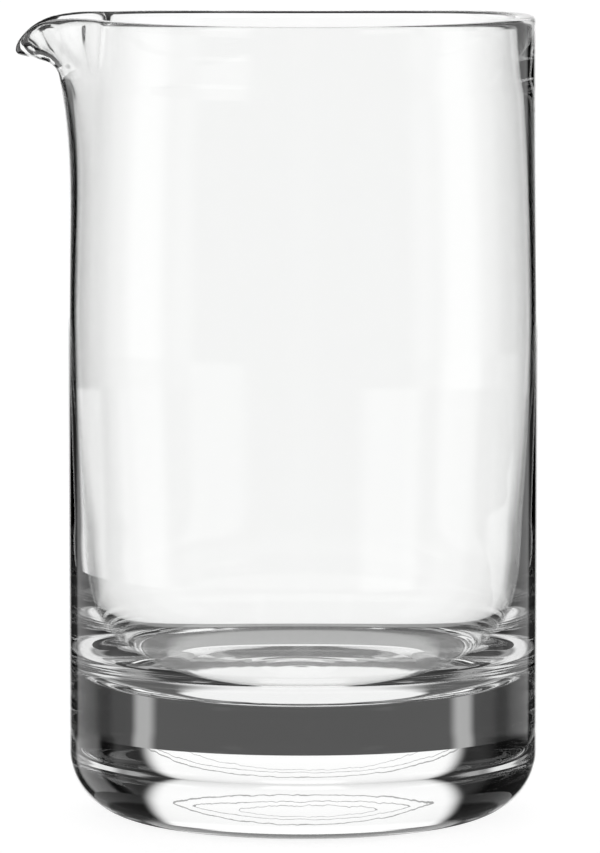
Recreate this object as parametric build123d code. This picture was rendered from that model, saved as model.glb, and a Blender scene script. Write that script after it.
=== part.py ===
"""Mixing glass: a straight, thick-based bar glass in one seamless piece, with a pouring spout.

The glass stands on the XY plane with its axis on +Z. The spout points along -X.
All sizes are in millimetres.
"""
import os
from math import asin, atan, cos, degrees, pi, radians, sin, sqrt

from build123d import *

# Outside of the glass
height = 153.4  # resting face to the flat of the rim
base_radius = 45.0  # outside of the wall, above the heel
rim_radius = 44.4  # outside of the wall at the rim
heel_radius = 12.2  # rounding between the wall and the underside

# Underside
foot_ring_width = 5.5  # flat ring that the glass rests on
punt_depth = 1.8  # hollow in the middle of the underside

# Inside of the base
floor_thickness = 22.5  # glass under the middle of the cavity, above the resting face
floor_rise = 3.0  # how much higher the floor is where its corner starts
floor_corner = 10.0  # size of the rounded corner between floor and wall

# Wall thickness, from the floor's corner up to the rim
corner_wall = 4.0
lower_wall = 2.5
waist_wall = 1.2
shoulder_wall = 2.3
rim_wall = 3.5
rim_rounding = 1.1  # both edges of the rim

# Where those thicknesses are
corner_height = 39.5
lower_height = 57.0
waist_height = 95.0
shoulder_below_rim = 15.0

# Spout: the wall leans out, then bends over into a lip that narrows to the tip
spout_width = 42.0  # across the shoulders of the spout
beak_width = 18.0  # of the narrow part that runs out to the tip
beak_share = 0.6  # how much of the bend only the narrow part makes
flare_below_rim = 42.0  # where the wall starts to lean out
flare = 2.3  # how far it has leaned out where the bend starts
bend_below_rim = 11.4
bend_radius = 3.6  # under the lip
lip_angle = 76.5  # of the lip's middle, from upright
lip_length = 9.9  # from the start of the bend to the tip
lip_wall = 2.1
lip_edge = 2.9  # the lip thickens again at its edge, like the rim
spout_sections = 25  # across the spout

os.makedirs("parts", exist_ok=True)

half_spout = asin(spout_width / 2 / rim_radius)
bend_start = height - bend_below_rim
flare_start = height - flare_below_rim


def wall_outside(z):
    """Radius of the plain wall's outside at height z, up to where the spout's bend starts."""
    part_way = (z - waist_height) / (bend_start - waist_height)
    return base_radius + (rim_radius - base_radius) * part_way


def wall_section(lean_share, share):
    """Section of the wall from the waist to the rim, as a face in the XZ plane.

    Both shares are 0 for the plain wall and 1 in the middle of the spout. The first is the share
    of the lean, and the second is the share of the bend.
    """
    lean = flare * lean_share
    rise = bend_start - flare_start
    first_angle = atan(3 * lean / rise)
    turn = (radians(lip_angle) - first_angle) * share
    length = bend_below_rim + (lip_length - bend_below_rim) * share
    end_wall = rim_wall + (lip_edge - rim_wall) * share

    def upright_part(z):
        up = max(z - flare_start, 0) / rise
        return wall_outside(z) + lean * up**3, z, atan(3 * lean * up**2 / rise)

    def bent_part(along):
        x, z, angle = upright_part(bend_start)
        arc = min(along, bend_radius * turn)
        last_angle = angle + arc / bend_radius
        x += bend_radius * (cos(angle) - cos(last_angle)) + (along - arc) * sin(last_angle)
        z += bend_radius * (sin(last_angle) - sin(angle)) + (along - arc) * cos(last_angle)
        return x, z, last_angle

    def bent_wall(part_way):
        plain = shoulder_wall + part_way * (rim_wall - shoulder_wall)
        return plain + (lip_wall - plain) * share

    def inwards(station, depth):
        x, z, angle = station
        return x - depth * cos(angle), z + depth * sin(angle)

    # Stations up the outside, each with the thickness of the glass there
    shoulder = height - shoulder_below_rim
    middle = (waist_height + shoulder) / 2
    straight_end = length - rim_rounding
    stations = [
        (upright_part(waist_height), waist_wall),
        (upright_part(middle), waist_wall + 0.3 * (shoulder_wall - waist_wall)),
        (upright_part(shoulder), shoulder_wall),
        (bent_part(0.25 * straight_end), bent_wall(0.55)),
        (bent_part(0.6 * straight_end), bent_wall(0.85)),
        (bent_part(straight_end), end_wall),
    ]
    outside = [inwards(station, 0) for station, _ in stations]
    inside = [inwards(station, wall) for station, wall in stations]
    last = stations[-1][0]
    end = bent_part(length)
    upward = (sin(last[2]), cos(last[2]))
    slant = rim_rounding * (1 - sqrt(0.5))
    outer_edge = Spline(*outside, tangents=[(0, 1), upward])
    outer_corner = ThreePointArc(
        outside[-1],
        inwards((end[0] - slant * upward[0], end[1] - slant * upward[1], last[2]), slant),
        inwards(end, rim_rounding),
    )
    inner_corner = ThreePointArc(
        inwards(end, end_wall - rim_rounding),
        inwards((end[0] - slant * upward[0], end[1] - slant * upward[1], last[2]), end_wall - slant),
        inside[-1],
    )
    inner_edge = Spline(*inside, tangents=[(0, 1), upward])
    outline = Wire(
        [
            Line(inside[0], outside[0]),
            outer_edge,
            outer_corner,
            Line(outer_corner @ 1, inner_corner @ 0),
            inner_corner,
            inner_edge,
        ]
    )
    return Plane.XZ * Face(outline)


# Lower part: heel, foot ring, punt, thick floor and the wall up to the waist
foot_outer = base_radius - heel_radius
foot_inner = foot_outer - foot_ring_width
floor_edge = base_radius - corner_wall - floor_corner
heel = ThreePointArc(
    (foot_outer, 0),
    (base_radius - heel_radius * (1 - sqrt(0.5)), heel_radius * (1 - sqrt(0.5))),
    (base_radius, heel_radius),
)
floor = ThreePointArc(
    (-floor_edge, floor_thickness + floor_rise),
    (0, floor_thickness),
    (floor_edge, floor_thickness + floor_rise),
)
punt = ThreePointArc((-foot_inner, 0), (0, punt_depth), (foot_inner, 0))
inner_wall = Spline(
    (base_radius - waist_wall, waist_height),
    (base_radius - lower_wall, lower_height),
    (base_radius - corner_wall, corner_height),
    (floor_edge, floor_thickness + floor_rise),
    tangents=[(0, -1), -(floor % 1)],
)
lower_outline = Wire(
    [
        Line((foot_inner, 0), (foot_outer, 0)),
        heel,
        Line((base_radius, heel_radius), (base_radius, waist_height)),
        Line((base_radius, waist_height), (base_radius - waist_wall, waist_height)),
        inner_wall,
        floor.trim(0.5, 1),
        Line((0, floor_thickness), (0, punt_depth)),
        punt.trim(0.5, 1),
    ]
)
lower_part = revolve(Plane.XZ * Face(lower_outline), Axis.Z, 360)

# Upper part: the plain wall round to both sides of the spout, and the spout itself
plain_wall = revolve(
    Rotation(0, 0, 180 + degrees(half_spout)) * wall_section(0, 0),
    Axis.Z,
    360 - 2 * degrees(half_spout),
)
sections = []
for number in range(spout_sections):
    turn_from_middle = half_spout * (2 * number / (spout_sections - 1) - 1)
    across = rim_radius * abs(sin(turn_from_middle))
    lean_share = cos(pi / 2 * turn_from_middle / half_spout) ** 2
    share = (1 - beak_share) * lean_share
    if across < beak_width / 2:
        share += beak_share * cos(pi * across / beak_width) ** 2
    section = wall_section(lean_share, share)
    sections.append(Rotation(0, 0, 180 + degrees(turn_from_middle)) * section)
spout = loft(sections)

# The spout's lofted surfaces meet the round ones to within a few thousandths of a millimetre
joint_tolerance = 0.005
mixing_glass = lower_part.fuse(plain_wall, spout, tol=joint_tolerance)
mixing_glass.label = "mixing_glass"
export_step(mixing_glass, "parts/mixing_glass.step")
print("volume, ml:", round(mixing_glass.volume / 1000, 1), mixing_glass.bounding_box())
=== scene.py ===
from math import asin, atan, atan2, cos, hypot, pi, radians, sin, sqrt

import bmesh
import bpy
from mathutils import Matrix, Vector, noise


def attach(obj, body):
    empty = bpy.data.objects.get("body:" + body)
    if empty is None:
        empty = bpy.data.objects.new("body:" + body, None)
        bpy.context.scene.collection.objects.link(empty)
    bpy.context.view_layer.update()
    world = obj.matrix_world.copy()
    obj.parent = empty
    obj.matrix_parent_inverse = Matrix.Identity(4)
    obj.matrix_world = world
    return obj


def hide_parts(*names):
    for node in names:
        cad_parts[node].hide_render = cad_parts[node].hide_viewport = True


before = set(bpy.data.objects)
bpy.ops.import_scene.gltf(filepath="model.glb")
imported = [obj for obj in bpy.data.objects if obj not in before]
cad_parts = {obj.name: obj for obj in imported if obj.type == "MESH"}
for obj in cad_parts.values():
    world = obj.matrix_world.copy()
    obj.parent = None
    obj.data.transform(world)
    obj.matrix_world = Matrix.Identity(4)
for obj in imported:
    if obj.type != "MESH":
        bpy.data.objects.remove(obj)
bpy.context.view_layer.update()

scene = bpy.context.scene

# Camera: a long lens a little above the rim, looking slightly down on the glass from the front.
looking_down = 6.347
camera_data = bpy.data.cameras.new("camera")
camera_data.lens = 294.2
camera_data.sensor_width = 36.0
camera_data.clip_start = 0.1
camera_data.clip_end = 50.0
camera = bpy.data.objects.new("camera", camera_data)
camera.location = (-0.00058, -1.3301, 0.2224)
camera.rotation_euler = (radians(90 - looking_down), 0, 0)
scene.collection.objects.link(camera)
scene.camera = camera

# Picture: plain response, and light paths long enough to cross both walls and the thick base.
scene.view_settings.view_transform = "Standard"
scene.view_settings.look = "None"
scene.cycles.max_bounces = 32
scene.cycles.transmission_bounces = 32
scene.cycles.glossy_bounces = 16
scene.cycles.diffuse_bounces = 3
scene.cycles.transparent_max_bounces = 16

# Studio light: bright paper behind the glass from each side that it is seen from, and black flags
# between the papers. Some rules go by how often light has crossed the glass, as no real studio can:
# they draw dark edges and bands that aren't in the glass itself. Levels are brightnesses, and
# angles are in degrees, sideways from a direction or up from level.
room_level = 0.68
paper_level = 1.06
side_paper_level = 0.9
side_flag_level = 0.35
table_level = 0.03
flag_level = 0.0
dark_room_level = 0.03
under_rim_level = 0.012
ceiling_level = 0.1
surface_level = 0.5
line_level = 0.4

studio = bpy.data.worlds.new("studio")
studio.use_nodes = True
scene.world = studio
sky = studio.node_tree
sky.nodes.clear()


def maths(tree, operation, *values):
    made = tree.nodes.new("ShaderNodeMath")
    made.operation = operation
    for number, value in enumerate(values):
        if isinstance(value, (int, float)):
            made.inputs[number].default_value = value
        else:
            tree.links.new(value, made.inputs[number])
    return made.outputs[0]


def ramp(tree, value, first, last, start=0.0, end=1.0, curve="SMOOTHSTEP"):
    made = tree.nodes.new("ShaderNodeMapRange")
    made.interpolation_type = curve
    tree.links.new(value, made.inputs["Value"])
    made.inputs["From Min"].default_value = first
    made.inputs["From Max"].default_value = last
    made.inputs["To Min"].default_value = start
    made.inputs["To Max"].default_value = end
    return made.outputs[0]


def stretched(tree, place, amounts):
    """A place with each of its three measures multiplied."""
    made = tree.nodes.new("ShaderNodeVectorMath")
    made.operation = "MULTIPLY"
    made.inputs[1].default_value = amounts
    tree.links.new(place, made.inputs[0])
    return made.outputs[0]


def speckle(tree, place, scale, detail):
    made = tree.nodes.new("ShaderNodeTexNoise")
    made.inputs["Scale"].default_value = scale
    made.inputs["Detail"].default_value = detail
    tree.links.new(place, made.inputs["Vector"])
    return made.outputs["Fac"]


def parts_of(tree, place):
    made = tree.nodes.new("ShaderNodeSeparateXYZ")
    tree.links.new(place, made.inputs[0])
    return made.outputs


direction = sky.nodes.new("ShaderNodeTexCoord").outputs["Generated"]
right, away, up = parts_of(sky, direction)
elevation = maths(sky, "ARCSINE", up)


def off_from(azimuth):
    """Angle sideways from the middle of what is behind the glass as seen from azimuth."""
    facing = Vector((-sin(radians(azimuth)), cos(radians(azimuth)), 0))
    along = maths(
        sky, "ADD", maths(sky, "MULTIPLY", right, facing.x), maths(sky, "MULTIPLY", away, facing.y)
    )
    across = maths(
        sky, "ADD", maths(sky, "MULTIPLY", right, facing.y), maths(sky, "MULTIPLY", away, -facing.x)
    )
    return maths(sky, "ABSOLUTE", maths(sky, "ARCTAN2", across, along))


def between(value, low, high, soft):
    """1 between two angles in degrees, and 0 outside them, with soft edges."""
    rising = ramp(sky, value, radians(low - soft), radians(low + soft))
    falling = ramp(sky, value, radians(high - soft), radians(high + soft), 1.0, 0.0)
    return maths(sky, "MULTIPLY", rising, falling)


def up_to(value, high, soft):
    return between(value, -99, high, soft)


def not_in(mask):
    return maths(sky, "SUBTRACT", 1.0, mask)


def both(first, second):
    return maths(sky, "MULTIPLY", first, second)


def paint(under, level, where):
    """Lays a level over what is there, where the mask is 1."""
    return maths(sky, "ADD", both(not_in(where), under), both(where, level))


towards, to_side, to_other_side = off_from(0), off_from(90), off_from(270)
path = sky.nodes.new("ShaderNodeLightPath").outputs
unmirrored = maths(sky, "LESS_THAN", path["Glossy Depth"], 0.5)
mirrored = not_in(unmirrored)
crossed = maths(sky, "GREATER_THAN", path["Transmission Depth"], 0.5)
crossed_once = maths(sky, "COMPARE", path["Transmission Depth"], 2.0, 0.5)

# Light near the level of the table. What was mirrored inside the glass, or has crossed only one
# piece of it, finds a dark room beside the papers.
dark_for = maths(sky, "MAXIMUM", both(crossed, mirrored), crossed_once)
low_light = paint(room_level, dark_room_level, dark_for)
low_light = paint(low_light, flag_level, between(towards, 15.5, 33, 3))
for side in (to_side, to_other_side):
    low_light = paint(low_light, side_flag_level, between(side, 18, 32, 5))
    low_light = paint(low_light, side_paper_level, up_to(side, 14, 7))
low_light = paint(low_light, paper_level, up_to(towards, 14, 3))
low_light = paint(low_light, ceiling_level, between(elevation, 52, 99, 5))

# Light from higher up, with wider paper. Thin wavy lines are drawn on it, each given as its
# elevation, half its width, and how far it sags to the sides. The lines seen in the solid base are
# these, not marks in the glass, and the rest of the glass doesn't show them.
high_light = paint(room_level, flag_level, between(towards, 29, 115, 4))
for side in (to_side, to_other_side):
    high_light = paint(high_light, side_paper_level, up_to(side, 14, 7))
high_light = paint(high_light, paper_level, up_to(towards, 29, 3))
wavy_lines = ((8.7, 0.14, 1.3), (10.8, 0.2, 0.85), (15.5, 0.4, 1.05))
line_wander = 4
wander = speckle(sky, stretched(sky, direction, (1, 1, 0.15)), 24.0, 3.0)
wavy = maths(
    sky, "ADD", elevation, both(maths(sky, "SUBTRACT", wander, 0.5), radians(line_wander))
)
for height, half, fall in wavy_lines:
    sag = both(both(towards, towards), fall)
    off = maths(
        sky, "ABSOLUTE", maths(sky, "ADD", maths(sky, "SUBTRACT", wavy, radians(height)), sag)
    )
    line = both(crossed_once, ramp(sky, off, radians(half * 0.6), radians(half * 1.4), 1.0, 0.0))
    high_light = paint(high_light, line_level, line)
high_light = paint(high_light, ceiling_level, between(elevation, 52, 99, 5))
light = paint(low_light, high_light, both(unmirrored, between(elevation, -2, 99, 1)))

# Light from below the level of the table: a dark table with strips of paper on it
deep_light = paint(table_level, paper_level, up_to(towards, 14, 4))
for azimuth in (45, 90, 225):
    deep_light = paint(deep_light, paper_level, up_to(off_from(azimuth), 15, 4))
light = paint(light, deep_light, up_to(elevation, -9.15, 0.15))
light = paint(light, under_rim_level, both(crossed_once, up_to(elevation, -26, 1)))

# What the outside of the glass mirrors from the camera's side is even
straight_off = both(not_in(crossed), mirrored)
light = paint(light, surface_level, both(straight_off, between(towards, 75, 999, 10)))
light = paint(light, 1.0, path["Is Camera Ray"])
background = sky.nodes.new("ShaderNodeBackground")
background.inputs["Color"].default_value = (1, 1, 1, 1)
sky.links.new(light, background.inputs["Strength"])
world_output = sky.nodes.new("ShaderNodeOutputWorld")
sky.links.new(background.outputs[0], world_output.inputs[0])

# Floor: a wide sheet of white opal, lit from below so that the glass throws hardly any shadow. The
# glass doesn't show it.
floor_radius = 9.0
floor_grey = 0.5
floor_glow = 0.85


def object_from(name, shape, finish):
    """An object at the origin, from a finished shape and its material."""
    mesh = bpy.data.meshes.new(name)
    shape.to_mesh(mesh)
    shape.free()
    mesh.materials.append(finish)
    made = bpy.data.objects.new(name, mesh)
    scene.collection.objects.link(made)
    return made


opal = bpy.data.materials.new("white_opal")
opal.use_nodes = True
opal_shader = opal.node_tree.nodes["Principled BSDF"]
opal_shader.inputs["Base Color"].default_value = (floor_grey, floor_grey, floor_grey, 1)
opal_shader.inputs["Roughness"].default_value = 0.9
opal_shader.inputs["Specular IOR Level"].default_value = 0.0
opal_shader.inputs["Emission Color"].default_value = (1, 1, 1, 1)
opal_shader.inputs["Emission Strength"].default_value = floor_glow
floor_shape = bmesh.new()
bmesh.ops.create_circle(floor_shape, cap_ends=True, segments=64, radius=floor_radius)
floor_sheet = object_from("floor", floor_shape, opal)
floor_sheet.visible_transmission = False
floor_sheet.visible_glossy = False

# Under sheet: a small lit disc below the base, bright in the middle with one paler ring. It lights
# the rings in the floor of the cavity, and only the glass shows it.
under_radius = 0.075
under_height = -0.020


def glow(name):
    made = bpy.data.materials.new(name)
    made.use_nodes = True
    tree = made.node_tree
    tree.nodes.clear()
    emit = tree.nodes.new("ShaderNodeEmission")
    out = tree.nodes.new("ShaderNodeOutputMaterial")
    tree.links.new(emit.outputs[0], out.inputs[0])
    return made, tree, emit, out


under_paint, tree, under_emit, _ = glow("under_sheet")
under_place = tree.nodes.new("ShaderNodeTexCoord").outputs["Object"]
from_middle = tree.nodes.new("ShaderNodeVectorMath")
from_middle.operation = "LENGTH"
tree.links.new(stretched(tree, under_place, (1, 1, 0)), from_middle.inputs[0])
from_middle = from_middle.outputs["Value"]
disc_light = ramp(tree, from_middle, 0.036, 0.041, 0.95, 0.1)
ring_light = ramp(tree, from_middle, 0.057, 0.062, 0.0, 0.3)
tree.links.new(maths(tree, "ADD", disc_light, ring_light), under_emit.inputs["Strength"])
under_shape = bmesh.new()
bmesh.ops.create_circle(under_shape, cap_ends=True, segments=96, radius=under_radius)
bmesh.ops.translate(under_shape, verts=under_shape.verts[:], vec=(0, 0, under_height))
under_sheet = object_from("under_sheet", under_shape, under_paint)
under_sheet.visible_camera = False
under_sheet.visible_diffuse = False
under_sheet.visible_shadow = False

# Black ring: a low hoop of card round the glass, with a pale bar on each side. It draws the dark
# band in the base, and only light that has crossed one piece of glass meets it.
hoop_radius = 0.150
hoop_width = 0.050
hoop_top = 0.009
bar_place = 0.0495

ring_paint, tree, ring_emit, ring_out = glow("black_ring")
ring_place = tree.nodes.new("ShaderNodeTexCoord").outputs["Object"]
ring_side = maths(tree, "ABSOLUTE", parts_of(tree, ring_place)["X"])
card_light = ramp(tree, ring_side, 0.040, 0.080, 0.08, 0.015)
bar_apart = maths(tree, "ABSOLUTE", maths(tree, "SUBTRACT", ring_side, bar_place))
bar_light = ramp(tree, bar_apart, 0.002, 0.008, 0.35, 0.0)
tree.links.new(maths(tree, "ADD", bar_light, card_light), ring_emit.inputs["Strength"])
ring_path = tree.nodes.new("ShaderNodeLightPath").outputs["Transmission Depth"]
ring_clear = tree.nodes.new("ShaderNodeBsdfTransparent")
ring_mix = tree.nodes.new("ShaderNodeMixShader")
tree.links.new(maths(tree, "COMPARE", ring_path, 2.0, 0.5), ring_mix.inputs[0])
tree.links.new(ring_clear.outputs[0], ring_mix.inputs[1])
tree.links.new(ring_emit.outputs[0], ring_mix.inputs[2])
tree.links.new(ring_mix.outputs[0], ring_out.inputs[0])
ring_shape = bmesh.new()
bmesh.ops.create_cone(
    ring_shape,
    cap_ends=False,
    segments=128,
    radius1=hoop_radius,
    radius2=hoop_radius,
    depth=hoop_width,
)
bmesh.ops.translate(ring_shape, verts=ring_shape.verts[:], vec=(0, 0, hoop_top - hoop_width / 2))
ring = object_from("black_ring", ring_shape, ring_paint)
ring.visible_camera = False
ring.visible_diffuse = False
ring.visible_glossy = False
ring.visible_shadow = False

# Mixing glass: one seamless piece of clear glass, pressed with a thick rounded base, a deep cavity
# and a fire-polished rim that is thicker than the wall. The rim is pulled out into a pouring lip
# at one place while it is soft. Sizes are in millimetres, and the mesh is made metres at the end.
MM = 0.001
glass_height = 153.4
lip_top = 153.5
base_radius = 44.999
rim_radius = 44.4
heel_radius = 12.2
foot_ring_width = 5.5
punt_depth = 1.8
floor_thickness = 22.5
floor_rise = 3.0
floor_edge = 31.0
waist_height = 95.0
shoulder_height = 138.4
waist_wall = 1.2
shoulder_wall = 2.3
rim_wall = 3.5
beak_wall = 2.1
beak_edge = 2.9
rim_rounding = 1.1
spout_width = 42.0
beak_width = 18.0
beak_share = 0.6
flare_below_rim = 42.0
flare = 2.3
bend_below_rim = 11.4
bend_radius = 3.6
lip_angle = 76.5
lip_length = 9.9
slump = 1.35
slump_reach = 30.0
ripple_height = 0.02
ripple_spacing = 4.4
ripple_wander = 0.4
wander_size = 14.0

# Points of the half section in each part of it, and steps round the glass
floor_steps = 40
corner_steps = (30, 14, 20)
upper_steps = 60
edge_steps = 6
straight_steps = 10
heel_steps = 24
punt_steps = 60
steps_round = 288

half_spout = asin(spout_width / 2 / rim_radius)
bend_start = glass_height - bend_below_rim
flare_start = glass_height - flare_below_rim
straight_end = bend_below_rim - rim_rounding
rim_bottom = glass_height - rim_rounding
foot_inner = base_radius - heel_radius - foot_ring_width

# Thickness of the glass by height: the plain wall from the waist up, and the lip from the shoulder
plain_wall = [
    (waist_height, waist_wall),
    (116.7, 1.53),
    (shoulder_height, shoulder_wall),
    (bend_start + 0.25 * straight_end, 2.96),
    (bend_start + 0.6 * straight_end, 3.32),
    (bend_start + straight_end, rim_wall),
]
lip_wall = [
    (shoulder_height, shoulder_wall),
    (bend_start + 0.25 * straight_end, beak_wall),
    (bend_start + 0.6 * straight_end, beak_wall),
    (bend_start + straight_end, beak_edge),
]


def between_points(start, start_slope, end, end_slope, t):
    """A share t of the way along the smooth line between two points."""
    return (
        (2 * t**3 - 3 * t**2 + 1) * start
        + (t**3 - 2 * t**2 + t) * start_slope
        + (3 * t**2 - 2 * t**3) * end
        + (t**3 - t**2) * end_slope
    )


def thickness(stations, at):
    """Thickness at a height, on the smooth line through (height, thickness) stations."""
    places = [place for place, _ in stations]
    values = [value for _, value in stations]
    if at <= places[0]:
        return values[0]
    if at >= places[-1]:
        return values[-1]
    last = len(places) - 1
    number = max(k for k in range(last) if places[k] <= at)

    def slope(k):
        if k in (0, last):
            return 0
        return (values[k + 1] - values[k - 1]) / (places[k + 1] - places[k - 1])

    gap = places[number + 1] - places[number]
    return between_points(
        values[number],
        gap * slope(number),
        values[number + 1],
        gap * slope(number + 1),
        (at - places[number]) / gap,
    )


def wall_outside(z):
    """Radius of the outside at height z: upright below the waist, then a slight taper."""
    part_way = min(max(z - waist_height, 0) / (bend_start - waist_height), 1)
    return base_radius + (rim_radius - base_radius) * part_way


def arc(centre, radius, first, last, count):
    """Points on an arc about centre, from first to last degrees."""
    turns = [radians(first + (last - first) * k / count) for k in range(count + 1)]
    return [(centre[0] + radius * cos(t), centre[1] + radius * sin(t)) for t in turns]


def bowl(edge, depth, count):
    """Points out along a shallow dish, as (radius, height above its middle)."""
    dish = (edge**2 + depth**2) / (2 * depth)
    radii = [edge * k / count for k in range(count + 1)]
    return [(r, dish - sqrt(dish**2 - r**2)) for r in radii]


# Half section, from the middle of the floor, up the inside, over the rim, and down to the underside
section = [(r, floor_thickness + h) for r, h in bowl(floor_edge, floor_rise, floor_steps)]
corner_stations = [
    (Vector((floor_edge, floor_thickness + floor_rise)), Vector((1, 2 * floor_rise / floor_edge))),
    (Vector((41.0, 39.5)), Vector((0.19, 1))),
    (Vector((42.5, 57.0)), Vector((0.06, 1))),
    (Vector((43.8, waist_height)), Vector((0, 1))),
]
for first, second, count in zip(corner_stations, corner_stations[1:], corner_steps):
    reach = (second[0] - first[0]).length
    for step in range(1, count + 1):
        point = between_points(
            first[0],
            reach * first[1].normalized(),
            second[0],
            reach * second[1].normalized(),
            step / count,
        )
        section.append((point.x, point.y))
for step in range(1, upper_steps + 1):
    height = waist_height + (rim_bottom - waist_height) * step / upper_steps
    section.append((wall_outside(height) - thickness(plain_wall, height), height))
rim_inside = rim_radius - rim_wall
section += arc((rim_inside + rim_rounding, rim_bottom), rim_rounding, 180, 90, edge_steps)[1:]
section += arc((rim_radius - rim_rounding, rim_bottom), rim_rounding, 90, 0, edge_steps)
for step in range(1, upper_steps + 1):
    height = rim_bottom + (waist_height - rim_bottom) * step / upper_steps
    section.append((wall_outside(height), height))
for step in range(1, straight_steps + 1):
    height = waist_height + (heel_radius - waist_height) * step / straight_steps
    section.append((base_radius, height))
section += arc((base_radius - heel_radius, heel_radius), heel_radius, 0, -90, heel_steps)[1:]
section.append((foot_inner + foot_ring_width / 2, 0))
section += [(r, punt_depth - h) for r, h in reversed(bowl(foot_inner, punt_depth, punt_steps))]

glass_shape = bmesh.new()
outline = [glass_shape.verts.new((-r, 0, h)) for r, h in section]
for first, second in zip(outline, outline[1:]):
    glass_shape.edges.new((first, second))
bmesh.ops.spin(
    glass_shape,
    geom=glass_shape.verts[:] + glass_shape.edges[:],
    cent=(0, 0, 0),
    axis=(0, 0, 1),
    angle=2 * pi,
    steps=steps_round,
    use_merge=True,
)
bmesh.ops.remove_doubles(glass_shape, verts=glass_shape.verts[:], dist=1e-4)

# The wall leans out towards the spout and bends over into the lip; every point keeps its place
# along the outside and its share of the wall's thickness
for vert in glass_shape.verts:
    x, y, z = vert.co
    turn = atan2(y, -x)
    if z <= flare_start or abs(turn) >= half_spout:
        continue
    lean_share = cos(pi / 2 * turn / half_spout) ** 2
    share = (1 - beak_share) * lean_share
    across = rim_radius * abs(sin(turn))
    if across < beak_width / 2:
        share += beak_share * cos(pi * across / beak_width) ** 2
    depth = wall_outside(z) - hypot(x, y)
    lean = flare * lean_share
    rise = bend_start - flare_start
    part_up = min((z - flare_start) / rise, 1)
    station_x = wall_outside(z) + lean * part_up**3
    station_z = min(z, bend_start)
    angle = atan(3 * lean * part_up**2 / rise)
    plain = thickness(plain_wall, z)
    wall = plain
    if z > shoulder_height:
        wall += (thickness(lip_wall, z) - plain) * share
    if z > bend_start:
        length = bend_below_rim + (lip_length - bend_below_rim) * share
        along = z - bend_start
        if along < straight_end:
            along *= (length - rim_rounding) / straight_end
        else:
            along += length - bend_below_rim
        first_angle = atan(3 * lean / rise)
        full_turn = (radians(lip_angle) - first_angle) * share
        bent = min(along, bend_radius * full_turn)
        angle = first_angle + bent / bend_radius
        station_x += bend_radius * (cos(first_angle) - cos(angle)) + (along - bent) * sin(angle)
        station_z += bend_radius * (sin(angle) - sin(first_angle)) + (along - bent) * cos(angle)
    if z <= rim_bottom:
        depth *= wall / plain
    elif depth > plain - rim_rounding:
        depth += wall - plain
    radius = station_x - depth * cos(angle)
    top = min(station_z + depth * sin(angle), lip_top)
    vert.co = (-radius * cos(turn), radius * sin(turn), top)

# The rim of the far side has slumped a little, and the underside is rippled by the mould
for vert in glass_shape.verts:
    x, y, z = vert.co
    radius = hypot(x, y)
    if y > 0 and z > glass_height - slump_reach:
        part_up = min((z - glass_height + slump_reach) / slump_reach, 1)
        vert.co.z -= slump * (y / radius) ** 2 * part_up * part_up * (3 - 2 * part_up)
    if z < punt_depth + 0.01 and radius < foot_inner:
        inside = 1 - (radius / foot_inner) ** 4
        wobble = noise.noise(Vector((x, y, 0)) / wander_size) * ripple_wander
        vert.co.z += ripple_height * inside * cos(2 * pi * (radius / ripple_spacing + wobble))
bmesh.ops.scale(glass_shape, vec=(MM, MM, MM), verts=glass_shape.verts[:])
bmesh.ops.recalc_face_normals(glass_shape, faces=glass_shape.faces[:])
for face in glass_shape.faces:
    face.smooth = True

# Clear glass, with faint waves left by the mould, longer up the wall than round it, and a trace of
# haze from the polishing
wave_depth = 0.000004
most_haze = 0.006
clear = bpy.data.materials.new("clear_glass")
clear.use_nodes = True
tree = clear.node_tree
shader = tree.nodes["Principled BSDF"]
shader.inputs["Base Color"].default_value = (0.99, 0.993, 0.99, 1)
shader.inputs["IOR"].default_value = 1.5
shader.inputs["Transmission Weight"].default_value = 1.0
glass_place = tree.nodes.new("ShaderNodeTexCoord").outputs["Object"]
waves = speckle(tree, stretched(tree, glass_place, (1.0, 1.0, 0.35)), 70.0, 1.0)
swell = tree.nodes.new("ShaderNodeBump")
swell.inputs["Strength"].default_value = 1.0
swell.inputs["Distance"].default_value = wave_depth
tree.links.new(waves, swell.inputs["Height"])
tree.links.new(swell.outputs["Normal"], shader.inputs["Normal"])
haze = ramp(tree, speckle(tree, glass_place, 220.0, 4.0), 0.45, 0.75, 0.0, most_haze, "LINEAR")
tree.links.new(haze, shader.inputs["Roughness"])

glass = object_from("mixing_glass_body", glass_shape, clear)
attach(glass, "root")
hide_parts("mixing_glass")
